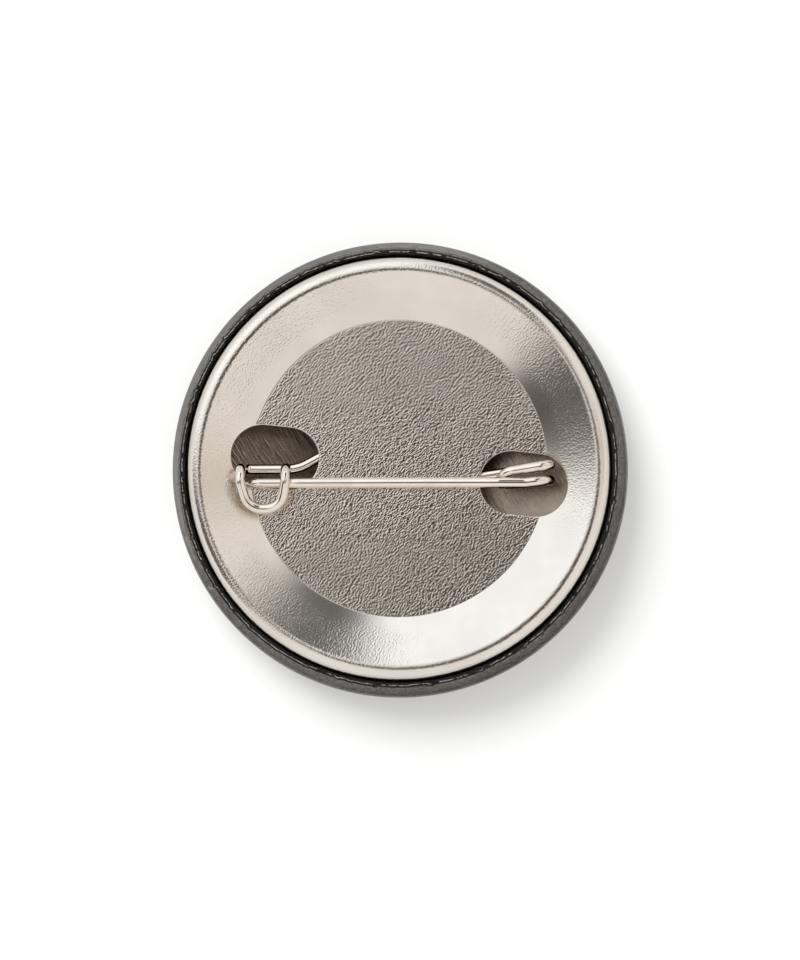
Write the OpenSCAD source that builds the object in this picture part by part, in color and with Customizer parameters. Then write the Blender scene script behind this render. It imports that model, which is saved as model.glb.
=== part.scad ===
// Button badge with a spring pin back.
// It lies face down: the domed face is at the bottom, the pin back is at the top.

/* [Badge body] */
// Outside diameter over the clear film
badge_d = 32; // [28:0.5:38]
// Radius of the domed face
dome_r = 80; // [60:5:140]
// Radius of the rounded shoulder between the face and the side wall
shoulder_r = 1.5; // [1.2:0.1:2]
// How far the side wall leans in, in degrees from upright
wall_lean = 24; // [20:1:26]
// Length of the straight side wall, from the shoulder to the curled edge
wall_l = 0.98; // [0.94:0.02:1.2]

/* [Sheets] */
// Thickness of the clear film
film_t = 0.08; // [0.06:0.01:0.1]
// Thickness of the printed paper
paper_t = 0.12; // [0.08:0.01:0.16]
// Thickness of the front shell's tinplate
shell_t = 0.24; // [0.2:0.01:0.3]
// Thickness of the back plate's tinplate
plate_t = 0.28; // [0.22:0.01:0.34]
// Clearance between sheets that lie on each other
sheet_gap = 0.01; // [0.005:0.005:0.02]
// Length of film and paper tucked down behind the shell's edge
tuck_l = 0.8; // [0.7:0.05:0.85]

/* [Back plate] */
// Outer radius of the rolled bead's section
bead_r = 0.86; // [0.8:0.01:0.88]
// Height of the bead above the film's folded edge
bead_rise = 0.71; // [0.6:0.01:0.75]
// Air between the bead's outer side and the film's fold
bead_gap = 0.02; // [0.01:0.01:0.08]
// Diameter of the flat middle of the plate
flat_d = 20.8; // [19:0.2:22]
// Slope of the ring between the flat middle and the bead, in degrees
slope_angle = 18; // [12:1:22]
// Inside radius of the bend between the flat middle and the slope
flat_bend_r = 0.4; // [0.2:0.05:0.8]
// How far the hidden skirt reaches down along the tuck
skirt_reach = 0.5; // [0.4:0.05:0.7]

/* [Wire holes] */
// Length of each obround hole
hole_l = 6.14; // [5.8:0.02:6.6]
// Width of each obround hole
hole_w = 4.37; // [4:0.01:4.8]
// Distance between the two hole centres
hole_spacing = 17.5; // [17.2:0.1:18.2]
// How far the holes' line is turned from the pin arm, in degrees
plate_turn = -6.25; // [-7:0.25:-5]
// Offset of the holes' middle from the plate's middle, along the pin arm
hole_shift_x = 0.04; // [0:0.01:0.1]
// Offset of the holes' middle from the plate's middle, across the pin arm
hole_shift_y = -0.15; // [-0.2:0.01:-0.1]

/* [Spring wire] */
// Diameter of the wire
wire_d = 0.7; // [0.6:0.01:0.72]
// Diameter of the thinner stretch before the point
point_wire_d = 0.64; // [0.5:0.01:0.66]
// Diameter of the blunted tip
tip_d = 0.1; // [0.06:0.01:0.2]
// Length of the ground point
point_l = 0.9; // [0.7:0.05:2]
// Reach of the pin's tip from the badge's middle
tip_reach = 10.66; // [10.5:0.01:10.8]
// Offset of the pin arm from the badge's middle line
arm_offset = -1.05; // [-1.08:0.01:-1.03]
// Height of the pin arm's middle above the plate's flat
arm_rise = 0.95; // [0.93:0.01:1.1]
// Slack between the wire and what it rests on
wire_gap = 0.01; // [0.01:0.005:0.03]
// How far the base under the plate is turned from the pin arm, in degrees
base_turn = -8.5; // [-9:0.5:-8]

/* [Coil] */
// Reach of the coil's outer side from the badge's middle
coil_reach = 10.95; // [10.85:0.01:11]
// Width of the coil along the arm, over the wire
coil_w = 4.1; // [4.05:0.01:4.15]
// Height of the large turn, from wire middle to wire middle
coil_h = 2.3; // [2.1:0.05:2.4]
// Offset of the coil's first turn from the badge's middle line
coil_start_y = 0.18; // [0.1:0.01:0.25]
// Offset of the coil's last turn from the badge's middle line
coil_end_y = -0.85; // [-0.9:0.01:-0.8]
// Offset of the coil's left bend, at its top, from the badge's middle line
coil_back_y = -0.35; // [-0.36:0.01:-0.33]
// How far the left bend's top lies below the coil's right bends
coil_back_drop = 0.18; // [0.16:0.01:0.2]
// Droop of the arm where it joins the coil, in degrees
arm_droop = 4; // [2:0.5:6]
// Distance from the badge's middle to where the arm starts to droop
droop_x = 7; // [6.6:0.05:7.4]

/* [Catch hook] */
// Reach of the hook's outer side from the badge's middle
hook_reach = 11.33; // [11.25:0.01:11.4]
// Width of the hook, over the wire
hook_w = 3.84; // [3.8:0.01:3.9]
// Width of the hook's closed end, over the wire
hook_end_w = 3; // [2.95:0.01:3.1]
// Reach of the hook's closed end from the badge's middle line
hook_end_y = -3.22; // [-3.3:0.01:-3.15]
// Offset of the hook's standing legs from the badge's middle line
hook_leg_y = 0; // [-0.05:0.01:0.05]
// Air between the arm and the crown of the hook
hook_gap = 0.02; // [0.01:0.01:0.06]
// How far the hook's closed end dips below its crown
hook_dip = 0.42; // [0.3:0.01:0.45]

/* [Hidden] */

// Steps that curved outlines are drawn with, and the sides of the wire
$fn = 144;
dome_steps = 12;
shoulder_steps = 14;
fold_steps = 12;
bead_steps = 12;
bend_steps = 3;
wire_sides = 16;
degrees_per_ring = 10;

// Sheets are placed by their depth below the outer face of the film
paper_depth = film_t + sheet_gap;
shell_depth = paper_depth + paper_t + sheet_gap;
shell_inner_depth = shell_depth + shell_t;
// The film folds over the shell's half-round edge and what covers it
fold_r = shell_depth + shell_t / 2;

badge_r = badge_d / 2;
lean = [cos(wall_lean), sin(wall_lean)];
up_wall = [-lean.y, lean.x];
dome_centre = [0, dome_r];
shoulder_x = badge_r - shoulder_r;
shoulder = [shoulder_x, dome_r - sqrt(pow(dome_r - shoulder_r, 2) - pow(shoulder_x, 2))];
dome_angle = atan2(shoulder_x, dome_r - shoulder.y);
fold = shoulder + (shoulder_r - fold_r) * lean + wall_l * up_wall;
fold_top = fold.y + fold_r;

// Bead of the back plate, beside the film's fold
bead_top = fold_top + bead_rise;
bead_z = bead_top - bead_r;
bead_reach = bead_r + fold_r + bead_gap;
bead = [fold.x - sqrt(pow(bead_reach, 2) - pow(fold.y - bead_z, 2)), bead_z];
// The skirt leaves the bead where the bead meets the fold, and hugs the fold
contact_angle = atan2(fold.y - bead.y, fold.x - bead.x);
hug_r = fold_r + bead_gap;
slope_dir = [cos(slope_angle), sin(slope_angle)];
slope_top = bead + bead_r * [-slope_dir.y, slope_dir.x];
flat_end = flat_d / 2 - flat_bend_r * tan(slope_angle / 2);
slope_foot_x = flat_end + flat_bend_r * slope_dir.y;
flat_z = slope_top.y - (slope_top.x - slope_foot_x) * tan(slope_angle)
         - flat_bend_r * (1 - slope_dir.x);

// Heights and places of the wire's middle line
wire_r = wire_d / 2;
arm_z = flat_z + arm_rise;
base_z = flat_z - plate_t - wire_gap - wire_r;
coil_x = coil_reach - wire_r;
coil_back_x = coil_reach - coil_w + wire_r;
coil_mid_x = (coil_x + coil_back_x) / 2;
droop = (coil_mid_x - droop_x) * tan(arm_droop);
coil_z = arm_z - droop;
pivot = [coil_mid_x, arm_offset, coil_z];
// Bend radii of the coil: half of each upright stretch, less a hair so that bends never meet
bend_share = 0.49;
small_turn_r = bend_share * (coil_z - base_z);
large_turn_r = bend_share * coil_h;
// The left bend crosses over beside the base, from the first turn to below the arm
cross_rise = 0.4;
cross_shift = 0.03;
cross_bend_r = 0.8;
back_bend_r = 0.9;
back_foot_r = 0.95;

// The base runs from the coil to the other hole, then steps down to the hook
coil_entry = [5.5, -0.56];
step_x = -5.2;
step_y = coil_entry.y + (step_x - coil_entry.x) * tan(base_turn);
step_foot_x = -7.3;
entry_bend_r = 3;
step_bend_r = 1.2;
corner_bend_r = 0.6;
dip_bend_r = 0.3;
end_bend_r = 1.3;
hook_x = -(hook_reach - wire_r);
hook_right_x = hook_x + hook_w - wire_d;
hook_end_shift = 0.1;
hook_end_x = (hook_x + hook_right_x) / 2 + hook_end_shift;
hook_end_half = (hook_end_w - wire_d) / 2;
hook_y = hook_end_y + wire_r;
hook_z = arm_z + wire_d + hook_gap;
hook_crown_y = arm_offset;
hook_rise_r = hook_leg_y - hook_crown_y;

// The join between the catch wire and the coil, hidden under the plate
join_x = 4.4;
join = [join_x, coil_entry.y + (join_x - coil_entry.x) * tan(base_turn), base_z];

// The arm's round root sits in a cup at the coil's end; both stop short of the ball's pole
ball_end_angle = 80;
ball_steps = 5;

function along(v) = v / norm(v);
function polar(r, a) = r * [cos(a), sin(a)];
function backwards(list) = [for (i = [len(list) - 1:-1:0]) list[i]];
function arc(centre, r, from, to, steps) =
    [for (i = [0:steps]) centre + polar(r, from + (to - from) * i / steps)];

// ---------------------------------------------------------------- sheet sections

// One side of a sheet that covers the face and the wall, at a depth below the film's outer face
function face_line(depth) = concat(
    arc(dome_centre, dome_r - depth, 270, 270 + dome_angle, dome_steps),
    arc(shoulder, shoulder_r - depth, 270 + dome_angle, 360 + wall_lean, shoulder_steps));

// The same side where it folds over the shell's edge
function fold_line(depth) = arc(fold, fold_r - depth, wall_lean, 180 + wall_lean, fold_steps);

// Where that side ends behind the wall
function tuck_end(depth) = fold - (fold_r - depth) * lean - tuck_l * up_wall;

// The shell ends in a half-round edge in the middle of the fold
module shell_section() {
    polygon(concat(face_line(shell_depth), fold_line(shell_depth),
                   backwards(face_line(shell_inner_depth))));
}

// Paper and film fold over that edge and end in the tuck
module wrap_section(depth, thickness) {
    polygon(concat(
        face_line(depth), fold_line(depth), [tuck_end(depth), tuck_end(depth + thickness)],
        backwards(fold_line(depth + thickness)), backwards(face_line(depth + thickness))));
}

// Flat middle, slope, rolled bead and hidden skirt, all one sheet
module plate_section() {
    flat_bend = [flat_end, flat_z + flat_bend_r];
    skirt_end = fold - hug_r * lean - skirt_reach * up_wall;
    polygon(concat(
        [[0, flat_z]],
        arc(flat_bend, flat_bend_r, 270, 270 + slope_angle, bend_steps),
        arc(bead, bead_r, 90 + slope_angle, contact_angle, bead_steps),
        arc(fold, hug_r, 180 + contact_angle, 180 + wall_lean, bend_steps),
        [skirt_end, skirt_end - plate_t * lean],
        arc(fold, hug_r + plate_t, 180 + wall_lean, 180 + contact_angle, bend_steps),
        arc(bead, bead_r - plate_t, contact_angle, 90 + slope_angle, bead_steps),
        arc(flat_bend, flat_bend_r + plate_t, 270 + slope_angle, 270, bend_steps),
        [[0, flat_z - plate_t]]));
}

module wire_hole() {
    straight = hole_l - hole_w;
    linear_extrude(bead_top) {
        square([straight, hole_w], center = true);
        for (side = [-1, 1]) translate([side * straight / 2, 0]) circle(d = hole_w);
    }
}

// ---------------------------------------------------------------- bent wire

// Wire follows a list of corners, each rounded with its own bend radius.
// A ring of the wire is [middle, direction, radius].
function bend_angle(p, i) = acos(along(p[i] - p[i - 1]) * along(p[i + 1] - p[i]));

function bend_rings(p, r, i) =
    let (
        u = along(p[i] - p[i - 1]),
        v = along(p[i + 1] - p[i]),
        angle = bend_angle(p, i),
        start = p[i] - r[i] * tan(angle / 2) * u,
        to_centre = along(v - (v * u) * u),
        steps = max(1, ceil(angle / degrees_per_ring))
    )
    [for (k = [0:steps])
        let (a = angle * k / steps)
        [start + r[i] * (sin(a) * u + (1 - cos(a)) * to_centre),
         cos(a) * u + sin(a) * to_centre,
         wire_r]];

function path_rings(p, r) = [for (i = [1:len(p) - 2]) each bend_rings(p, r, i)];

// A cut end, square to the wire
function end_ring(at, direction) = [[at, direction, wire_r]];

// Sideways directions carried along the wire without twist
function carried(rings, i, side) =
    let (t = rings[i][1], s = along(side - (side * t) * t))
    i == len(rings) - 1 ? [s] : concat([s], carried(rings, i + 1, s));

module swept_wire(rings) {
    first = rings[0][1];
    guess = abs(first.z) < 0.9 ? [0, 0, 1] : [1, 0, 0];
    sides = carried(rings, 0, guess);
    n = wire_sides;
    points = [for (i = [0:len(rings) - 1]) for (k = [0:n - 1])
        let (a = 360 * (k + 0.5) / n)
        rings[i][0] + rings[i][2] * (cos(a) * sides[i] + sin(a) * cross(rings[i][1], sides[i]))];
    walls = [for (i = [0:len(rings) - 2]) for (k = [0:n - 1])
        let (a = i * n + k, b = i * n + (k + 1) % n)
        each [[a, a + n, b], [b, a + n, b + n]]];
    last = (len(rings) - 1) * n;
    polyhedron(points, concat(
        [[for (k = [0:n - 1]) k]],
        walls,
        [[for (k = [n - 1:-1:0]) last + k]]));
}

// ---------------------------------------------------------------- pieces

module front_shell() {
    color("#6a635c") rotate_extrude() shell_section();
}

module printed_insert() {
    color("#5d5a58") rotate_extrude() wrap_section(paper_depth, paper_t);
}

module clear_film() {
    color("#8f8f8f", 0.4) rotate_extrude() wrap_section(0, film_t);
}

module back_plate() {
    color("#b9b1a8") difference() {
        rotate_extrude() plate_section();
        translate([hole_shift_x, hole_shift_y, bead_top / 2]) rotate(plate_turn)
            for (side = [-1, 1]) translate([side * hole_spacing / 2, 0, 0]) wire_hole();
    }
}

module catch_wire() {
    base_y = hook_leg_y;
    corners = [
        join,
        [step_x, step_y, base_z],
        [step_foot_x, base_y, base_z],
        [hook_x, base_y, base_z],
        [hook_x, base_y, hook_z],
        [hook_x, hook_crown_y, hook_z],
        [hook_end_x - hook_end_half, hook_y, hook_z - hook_dip],
        [hook_end_x + hook_end_half, hook_y, hook_z - hook_dip],
        [hook_right_x, hook_crown_y, hook_z],
        [hook_right_x, base_y, hook_z],
        [hook_right_x, base_y, base_z + wire_d + wire_gap]
    ];
    crown_r = 0.9 * hook_rise_r;
    radii = [0, step_bend_r, step_bend_r, corner_bend_r, crown_r, dip_bend_r,
             end_bend_r, end_bend_r, dip_bend_r, crown_r, 0];
    color("#cfc4b8") swept_wire(concat(
        end_ring(join, along(corners[1] - join)),
        path_rings(corners, radii),
        end_ring(corners[10], [0, 0, -1])));
}

module spring_coil() {
    cross_y = arm_offset - cross_shift;
    corners = [
        join,
        [coil_entry.x, coil_entry.y, base_z],
        [coil_x, coil_start_y, base_z],
        [coil_x, coil_start_y, coil_z],
        [coil_back_x, coil_back_y, coil_z - coil_back_drop],
        [coil_back_x, cross_y, base_z + cross_rise],
        [coil_back_x, cross_y, coil_z - coil_h],
        [coil_x, coil_end_y, coil_z - coil_h],
        [coil_x, coil_end_y, coil_z],
        pivot
    ];
    radii = [0, entry_bend_r, small_turn_r, small_turn_r, back_bend_r, cross_bend_r,
             back_foot_r, large_turn_r, large_turn_r, 0];
    // The end is hollowed to take the arm's round root
    cup_r = wire_r + wire_gap;
    cup_rim = acos(wire_r / cup_r);
    cup = [for (i = [0:ball_steps])
        let (a = cup_rim + (ball_end_angle - cup_rim) * i / ball_steps)
        [pivot + [cup_r * sin(a), 0, 0], [-1, 0, 0], cup_r * cos(a)]];
    color("#cfc4b8") swept_wire(concat(
        end_ring(join, along(corners[1] - join)), path_rings(corners, radii), cup));
}

module pin_arm() {
    droop_bend_r = 3;
    droop_lead = 0.25;
    straight_end = droop_x - droop_lead;
    neck_x = hook_right_x + wire_d;
    neck_l = 0.6;
    point_start = -tip_reach + point_l;
    tip_steps = 4;
    root_r = 0.997 * wire_r;
    root_way = along([droop_x, arm_offset, arm_z] - pivot);
    color("#d8cdc0") {
        // The straight stretch, its thinner end and the ground point, turned about the arm's axis
        translate([0, arm_offset, arm_z]) rotate([0, -90, 0]) rotate_extrude()
            polygon(concat(
                [[0, -straight_end], [wire_r, -straight_end], [wire_r, -neck_x],
                 [point_wire_d / 2, neck_l - neck_x], [point_wire_d / 2, -point_start]],
                arc([0, tip_reach - tip_d / 2], tip_d / 2, 0, 90, tip_steps)));
        // The drooping root, sunk in the straight stretch and rounded at the pivot
        corners = [pivot, [droop_x, arm_offset, arm_z], [straight_end - wire_d, arm_offset, arm_z]];
        ball = [for (i = [0:ball_steps])
            let (a = ball_end_angle * (1 - i / ball_steps))
            [pivot - wire_r * sin(a) * root_way, root_way, wire_r * cos(a)]];
        swept_wire(concat(ball, path_rings(corners, [0, droop_bend_r, 0]),
            [[corners[2] + [wire_r, 0, 0], [-1, 0, 0], root_r]]));
    }
}

front_shell();
printed_insert();
clear_film();
back_plate();
catch_wire();
spring_coil();
pin_arm();
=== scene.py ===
"""Dresses a packed button badge: its wrapped print and film, its pressed back plate and its bent wire pin.

The badge lies face down with its pin back on top. Lengths are in metres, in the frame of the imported
model. Every round sheet is a section turned about the upright axis, in the plane of radius and height.
"""

import math
import random

import bpy
from bpy.props import FloatProperty, FloatVectorProperty, IntProperty, PointerProperty
from bpy.types import NodeSocket, Operator, Panel, PropertyGroup
from mathutils import Matrix, Vector
from mathutils.geometry import delaunay_2d_cdt


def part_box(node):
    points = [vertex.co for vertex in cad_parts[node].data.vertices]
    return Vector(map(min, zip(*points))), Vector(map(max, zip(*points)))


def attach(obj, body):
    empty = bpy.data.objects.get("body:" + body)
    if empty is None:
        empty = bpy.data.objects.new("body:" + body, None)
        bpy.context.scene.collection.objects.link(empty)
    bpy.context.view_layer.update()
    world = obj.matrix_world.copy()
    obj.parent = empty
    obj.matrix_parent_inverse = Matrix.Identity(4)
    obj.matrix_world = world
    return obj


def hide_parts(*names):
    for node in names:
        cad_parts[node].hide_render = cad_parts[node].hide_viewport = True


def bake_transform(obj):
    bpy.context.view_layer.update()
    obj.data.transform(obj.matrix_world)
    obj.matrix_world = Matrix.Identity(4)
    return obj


bl_info = {
    "name": "Button Badge",
    "version": (1, 0, 0),
    "blender": (4, 5, 0),
    "location": "View3D > Sidebar > Badge",
    "description": "Models and finishes the sheets and the wire of a button badge",
    "category": "Object",
}

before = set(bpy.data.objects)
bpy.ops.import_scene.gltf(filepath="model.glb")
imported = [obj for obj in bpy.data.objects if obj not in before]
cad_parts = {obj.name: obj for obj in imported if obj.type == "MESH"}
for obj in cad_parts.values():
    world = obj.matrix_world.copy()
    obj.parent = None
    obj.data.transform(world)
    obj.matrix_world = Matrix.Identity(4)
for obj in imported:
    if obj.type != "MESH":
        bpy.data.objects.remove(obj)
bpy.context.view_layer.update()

MM = 0.001
BADGE = "badge"
PIN = "pin_arm"
SHARE = "fold_share"
WHITE = (1, 1, 1, 1)
SHEET_SEGMENTS = 1080
PLATE_SEGMENTS = 360
NET_STEP = 0.42 * MM
SLOT_STEP = 0.12 * MM
WIRE_SIDES = 28
WIRE_STEP = 0.2 * MM
DROOP_BEND = 3 * MM
SHARP_EDGE = math.radians(50)
SENSOR = 36
OUTPUT_COLUMN = 2600


# --- settings ---

def length(name, description, default):
    """A length, given here in millimetres"""
    return FloatProperty(
        name=name, description=description, default=default * MM, unit="LENGTH", precision=5
    )


def angle(name, description, degrees):
    """An angle, given here in degrees"""
    return FloatProperty(
        name=name, description=description, default=math.radians(degrees), subtype="ANGLE"
    )


def colour(name, description, default):
    """A plain colour"""
    return FloatVectorProperty(
        name=name, description=description, default=default, size=3, min=0, max=1, subtype="COLOR"
    )


class BadgeSheetSettings(PropertyGroup):
    """Film, print and shell: three sheets, one inside the other"""

    dome_radius: length("Dome radius", "Radius of the domed face", 80)
    shoulder_radius: length("Shoulder radius", "Radius between the face and the wall", 1.5)
    wall_lean: angle("Wall lean", "How far the side wall leans in from upright", 24)
    film: length("Film", "Thickness of the clear film", 0.08)
    paper: length("Paper", "Thickness of the printed paper", 0.12)
    shell: length("Shell", "Thickness of the shell's tinplate", 0.24)
    gap: length("Gap", "Air between sheets that lie on each other", 0.01)
    tuck: length("Tuck", "Length of film and paper tucked behind the shell's edge", 0.8)
    pleats: IntProperty(
        name="Pleats", description="Number of small pleats round the fold", default=46, min=0
    )
    pleat_height: length("Pleat height", "How far a pleat stands out of the fold", 0.028)
    crease_height: length("Crease height", "How far the creases along the fold stand out", 0.006)
    pleat_seed: IntProperty(name="Pleat seed", description="Picks where the pleats fall", default=7)
    ink: colour("Ink", "Colour of the plain print", (0.013, 0.011, 0.009))


class BadgePlateSettings(PropertyGroup):
    """Back plate: flat middle, slope, rolled bead and two slots"""

    thickness: length("Thickness", "Thickness of the plate", 0.28)
    bead_radius: length("Bead radius", "Outer radius of the rolled bead's section", 0.86)
    bead_gap: length("Bead gap", "Air between the bead and the film's fold", 0.02)
    flat_radius: length("Flat radius", "Radius of the flat middle", 10.4)
    slope: angle("Slope", "Slope of the ring between the flat middle and the bead", 18)
    bend_radius: length("Bend radius", "Radius of the bend at the edge of the flat", 0.4)
    skirt: length("Skirt", "How far the hidden skirt reaches down the tuck", 0.5)
    slot_length: length("Slot length", "Length of each slot", 6.14)
    slot_width: length("Slot width", "Width of each slot", 4.37)
    slot_spacing: length("Slot spacing", "Distance between the slots' centres", 17.5)
    slot_turn: angle("Slot turn", "How far the slots' line is turned from the pin", -6.25)
    slot_shift_x: length("Slot shift X", "Offset of the slots along the pin", 0.04)
    slot_shift_y: length("Slot shift Y", "Offset of the slots across the pin", -0.15)
    edge_roll: length("Edge roll", "Radius that the punch leaves on the slots' edges", 0.07)
    tin: colour("Tin", "Colour of the bright tinplate", (0.82, 0.76, 0.70))


class BadgeWireSettings(PropertyGroup):
    """One length of wire: base, catch hook, coil and pin arm"""

    radius: length("Radius", "Radius of the wire", 0.35)
    thin_radius: length("Thin radius", "Radius of the arm before its point", 0.32)
    point: length("Point", "Length of the ground point", 0.9)
    slack: length("Slack", "Air between the hook's end and the base", 0.01)
    droop: angle("Droop", "Droop of the arm where it joins the coil", 4)
    droop_start: length("Droop start", "Where the arm starts to droop", 7)
    base_turn: angle("Base turn", "How far the base is turned from the pin arm", -8.5)
    coil_width: length("Coil width", "Width of the coil along the arm", 4.1)
    coil_height: length("Coil height", "Height of the large turn", 2.3)
    coil_front: length("Coil front", "Where the coil's first turn stands, across the arm", 0.18)
    coil_last: length("Coil last", "Where the coil's last turn stands, across the arm", -0.85)
    coil_back: length("Coil back", "Where the top of the left bend stands, across the arm", -0.35)
    coil_back_drop: length("Left bend drop", "How far the left bend lies lower", 0.18)
    hook_width: length("Hook width", "Width of the hook over the wire", 3.84)
    hook_end_width: length("Hook end", "Width of the hook's closed end over the wire", 3)
    hook_leg: length("Hook leg", "Where the hook's legs stand, across the arm", 0)
    hook_dip: length("Hook dip", "How far the closed end dips below the crown", 0.42)
    hook_end_shift: length("Hook end shift", "How far the closed end stands off the middle", 0.1)
    step_start: length("Step start", "Where the base steps over to the hook's leg", -5.2)
    step_end: length("Step end", "Where that step ends", -7.1)
    plating: colour("Plating", "Colour of the plated wire", (0.86, 0.79, 0.71))


class BadgeStageSettings(PropertyGroup):
    """Camera, floor and studio light"""

    distance: length("Distance", "From the camera to the badge", 300)
    frame_height: length("Frame height", "Height of the view at the badge's widest level", 67.38)
    tilt: angle("Tilt", "How far the camera stands off the upright", 4.5)
    tilt_azimuth: angle("Tilt azimuth", "Which way it stands off, from +X", -45)
    aim_x: length("Aim X", "Where the camera aims, along the pin", 0.026)
    aim_y: length("Aim Y", "Where the camera aims, across the pin", -0.742)
    floor: colour("Floor", "Colour of the floor", (0.5, 0.502, 0.494))
    floor_glow: FloatProperty(name="Floor glow", description="Lifts the floor to white", default=0.35)
    room: FloatProperty(name="Room", description="Brightness of the pale room", default=0.93)
    sun: FloatProperty(name="Sun", description="Strength of the key light", default=3.3)
    sun_size: angle("Sun size", "How wide the key light looks", 38)
    sun_tilt: angle("Sun tilt", "How far the key light stands off the upright", 46)
    sun_azimuth: angle("Sun azimuth", "Which way it stands off, from +X", 125)


# --- plane geometry ---

def polar(radius, degrees):
    """A point in the plane at that radius and angle"""
    turn = math.radians(degrees)
    return Vector((radius * math.cos(turn), radius * math.sin(turn)))


def arc(centre, radius, start, end, steps):
    """Points along a round stretch, with the outward direction at each"""
    ways = [polar(1, start + (end - start) * i / steps) for i in range(steps + 1)]
    return [(centre + radius * way, way) for way in ways]


def line(start, end, out, steps):
    """Points after start along a straight stretch, whose face looks towards out"""
    return [(start.lerp(end, (i + 1) / steps), out) for i in range(steps)]


def bump(away):
    """A soft bump of height 1, by how many of its widths away"""
    return math.exp(-(away ** 2))


def smooth_step(value):
    """A soft ramp from 0 to 1"""
    value = min(1.0, max(0.0, value))
    return value * value * (3 - 2 * value)


# --- meshes ---

def linked(name, data):
    """A new object in the scene"""
    thing = bpy.data.objects.new(name, data)
    bpy.context.scene.collection.objects.link(thing)
    return thing


def new_piece(name, points, faces, body, material, shares=None):
    """A smooth mesh object that rides on a body; shares is a value to keep for each point"""
    mesh = bpy.data.meshes.new(name)
    mesh.from_pydata(points, [], faces)
    if shares:
        mesh.attributes.new(SHARE, "FLOAT", "POINT").data.foreach_set("value", shares)
    mesh.validate()
    mesh.shade_smooth()
    piece = linked(name, mesh)
    mesh.materials.append(material)
    if body:
        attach(piece, body)
    return piece


def quads(low, high):
    """Faces between two closed rings of points, given by their indices"""
    count = len(low)
    return [(low[k], low[(k + 1) % count], high[(k + 1) % count], high[k]) for k in range(count)]


def revolved(section, push):
    """Points, faces and shares of a section turned about the upright axis, from pole to pole.

    The section's points come with their outward direction and their share of the way round the fold.
    push(turn) gives, for that turn, how far a point moves outward and the share that it keeps.
    """
    segments = SHEET_SEGMENTS
    points = []
    shares = []
    rings = []
    turns = [math.tau * k / segments for k in range(segments)]
    pushes = [push(turn) for turn in turns]
    ways = [(math.cos(turn), math.sin(turn)) for turn in turns]
    for point, out, share in section:
        if point.x < 1e-9:  # the pole
            rings.append([len(points)])
            points.append((0.0, 0.0, point.y))
            shares.append(share)
            continue
        first = len(points)
        for way, moved in zip(ways, pushes):
            far, mark = moved(share)
            radius = point.x + far * out.x
            points.append((radius * way[0], radius * way[1], point.y + far * out.y))
            shares.append(mark)
        rings.append(range(first, len(points)))
    faces = []
    for low, high in zip(rings, rings[1:]):
        if len(low) == 1:
            faces += [(low[0], high[(k + 1) % segments], high[k]) for k in range(segments)]
        elif len(high) == 1:
            faces += [(low[k], low[(k + 1) % segments], high[0]) for k in range(segments)]
        else:
            faces += quads(low, high)
    return points, faces, shares


# --- wrapped sheets ---

class Rim:
    """Where the wall and the fold of the wrapped sheets lie"""

    def __init__(self, sheets):
        low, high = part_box("clear_film")
        self.sheets = sheets
        self.fold_radius = sheets.film + sheets.paper + 2 * sheets.gap + sheets.shell / 2
        self.lean = math.degrees(sheets.wall_lean)
        self.out = polar(1, self.lean)
        self.up = Vector((-self.out.y, self.out.x))
        inner_dome = sheets.dome_radius - sheets.shoulder_radius
        shoulder_x = high.x - sheets.shoulder_radius
        drop = math.sqrt(inner_dome ** 2 - shoulder_x ** 2)
        self.dome_centre = Vector((0, low.z + sheets.dome_radius))
        self.shoulder = Vector((shoulder_x, self.dome_centre.y - drop))
        self.dome_angle = math.degrees(math.atan2(shoulder_x, drop))
        wall_foot = self.shoulder + (sheets.shoulder_radius - self.fold_radius) * self.out
        fold_z = high.z - self.fold_radius
        self.fold = wall_foot + (fold_z - wall_foot.y) / self.up.y * self.up

    def face(self, depth):
        """The face, the wall, the fold and the tuck at a depth below the film, from the pole outward.

        Each point comes with its outward direction and its share of the way round the fold.
        """
        shoulder_radius = self.sheets.shoulder_radius - depth
        fold_radius = self.fold_radius - depth
        end = 270 + self.dome_angle
        dome = arc(self.dome_centre, self.sheets.dome_radius - depth, 270, end, 24)
        shoulder = arc(self.shoulder, shoulder_radius, end, 360 + self.lean, 14)[1:]
        wall_top = self.fold + fold_radius * self.out
        wall = line(shoulder[-1][0], wall_top, self.out, 12)
        fold = arc(self.fold, fold_radius, self.lean, self.lean + 180, 60)[1:]
        tuck_end = fold[-1][0] - self.sheets.tuck * self.up
        tuck = line(fold[-1][0], tuck_end, -self.out, 4)
        stretches = ((dome + shoulder, 0.0, 0.0), (wall, 0.0, 0.5), (fold, 0.5, 1.0), (tuck, 1.0, 1.0))
        return [
            (*spot, start + (end - start) * (i + 1) / len(stretch))
            for stretch, start, end in stretches
            for i, spot in enumerate(stretch)
        ]


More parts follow.
